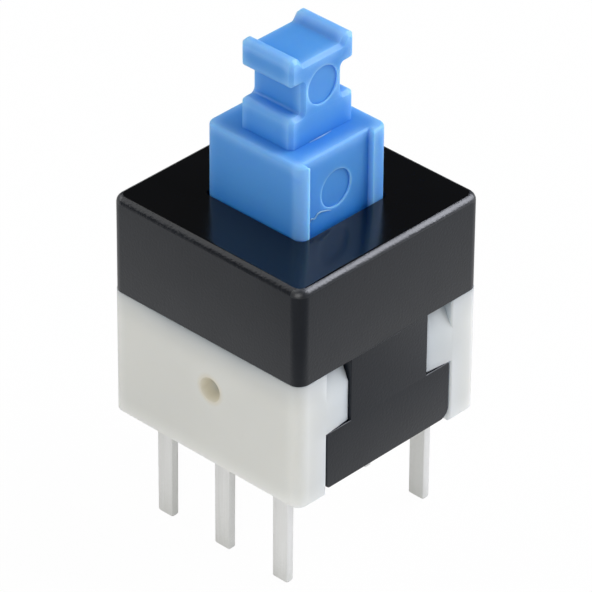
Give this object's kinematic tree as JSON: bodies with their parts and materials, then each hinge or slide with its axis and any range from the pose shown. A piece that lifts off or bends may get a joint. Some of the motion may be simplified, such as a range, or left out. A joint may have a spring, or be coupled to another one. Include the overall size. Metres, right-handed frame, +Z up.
{
  "type": "self-locking push switch",
  "caption": "Square self-locking push switch: a necked button in a black cover snapped on a white base, with flat solder pins below and a heart-cam latch inside.",
  "frame": {"origin": "centre of the base's underside, in the plane that sits on the circuit board", "axes": "+Z up through the button, +X along the pin rows, +Y across them; the face with the gate dimple looks to -Y"},
  "size_m": [0.008, 0.008, 0.0172],
  "materials": {
    "cover_black": "black moulded plastic, satin sides",
    "base_white": "milky white moulded plastic",
    "button_blue": "blue moulded plastic, slightly translucent",
    "tinned_strip": "tin-plated strip",
    "contact_bronze": "phosphor bronze spring strip",
    "spring_steel": "bright spring wire"
  },
  "bodies": {
    "housing": {"cover": "cover_black", "base": "base_white", "terminal_closed_front": "tinned_strip", "terminal_common_front": "tinned_strip", "terminal_open_front": "tinned_strip", "terminal_closed_back": "tinned_strip", "terminal_common_back": "tinned_strip", "terminal_open_back": "tinned_strip", "return_spring": "spring_steel"},
    "plunger": {"button": "button_blue", "contact_front": "contact_bronze", "contact_back": "contact_bronze"},
    "latch": {"latch_wire": "spring_steel"}
  },
  "joints": [
    {"name": "button_press", "type": "slide", "parent": "housing", "child": "plunger", "axis": [0, 0, -1], "range_m": [0, 0.0023], "stiffness_N_per_m": 600, "springref_m": -0.0015, "deforming": ["return_spring"]},
    {"name": "latch_swing", "type": "hinge", "parent": "housing", "child": "latch", "pos_m": [-0.00252, 0, 0.00145], "axis": [-1, 0, 0], "range_deg": [0, 19.08]}
  ],
  "couplings": [
    {"joint": "latch_swing", "follows": "button_press", "rad_per_m": 144.8}
  ]
}
